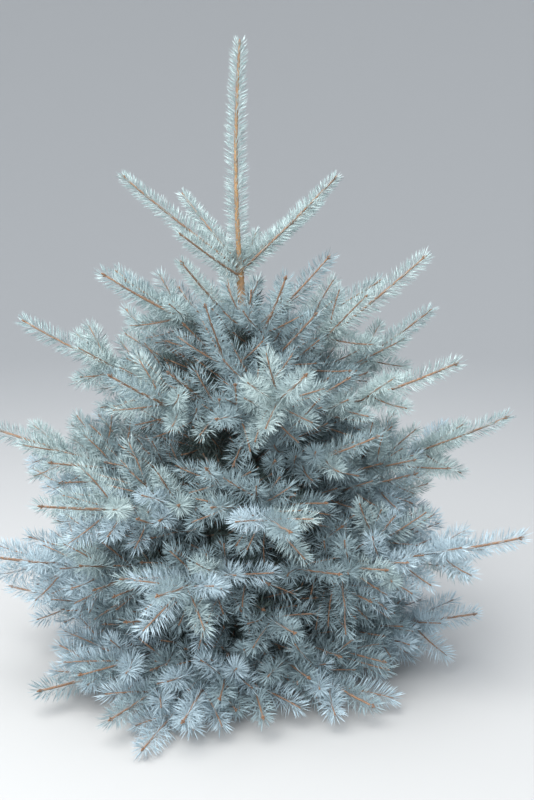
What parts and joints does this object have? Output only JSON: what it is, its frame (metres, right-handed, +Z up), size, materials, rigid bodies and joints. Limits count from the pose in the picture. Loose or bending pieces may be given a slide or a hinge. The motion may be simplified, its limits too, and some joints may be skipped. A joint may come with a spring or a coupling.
{
  "type": "blue spruce tree",
  "caption": "Young blue spruce with a straight leader, upswept whorls of needled boughs and a flat cut under the trunk at ground level.",
  "frame": {"origin": "middle of the flat cut under the trunk, at ground level", "axes": "+Z up along the trunk, +X to the right and +Y away from a viewer in front of the tree"},
  "size_m": [1.3289, 1.2221, 1.484],
  "materials": {
    "bark": "matt ridged bark",
    "needles": "matt needles with a waxy bloom"
  },
  "bodies": {
    "root": {"bough_4_1": "bark", "bough_4_2": "bark", "bough_4_3": "bark", "bough_4_4": "bark", "bough_4_5": "bark", "bough_4_6": "bark", "bough_5_1": "bark", "bough_5_2": "bark", "bough_5_3": "bark", "bough_5_4": "bark", "bough_5_5": "bark", "bough_5_6": "bark", "bough_6_1": "bark", "bough_6_2": "bark", "bough_6_3": "bark", "bough_6_4": "bark", "bough_6_5": "bark", "bough_6_6": "bark", "bough_6_7": "bark", "foliage_2_1": "needles", "foliage_2_2": "needles", "foliage_2_3": "needles", "foliage_2_4": "needles", "foliage_2_5": "needles", "foliage_2_6": "needles", "foliage_3_1": "needles", "foliage_3_2": "needles", "foliage_3_3": "needles", "foliage_3_4": "needles", "foliage_3_5": "needles", "foliage_3_6": "needles", "foliage_3_7": "needles", "foliage_4_1": "needles", "foliage_4_2": "needles", "foliage_4_3": "needles", "foliage_4_4": "needles", "foliage_4_5": "needles", "foliage_4_6": "needles", "foliage_5_1": "needles", "foliage_5_2": "needles", "foliage_5_3": "needles", "foliage_5_4": "needles", "foliage_5_5": "needles", "foliage_5_6": "needles", "foliage_6_1": "needles", "foliage_6_2": "needles", "foliage_6_3": "needles", "foliage_6_4": "needles", "foliage_6_5": "needles", "foliage_6_6": "needles", "foliage_6_7": "needles", "leader_needles": "needles", "top_shoot_1": "needles", "top_shoot_2": "needles", "top_shoot_3": "needles", "top_shoot_4": "needles", "top_shoot_5": "needles", "top_shoot_6": "needles", "top_shoot_7": "needles", "trunk": "bark"}
  },
  "joints": []
}
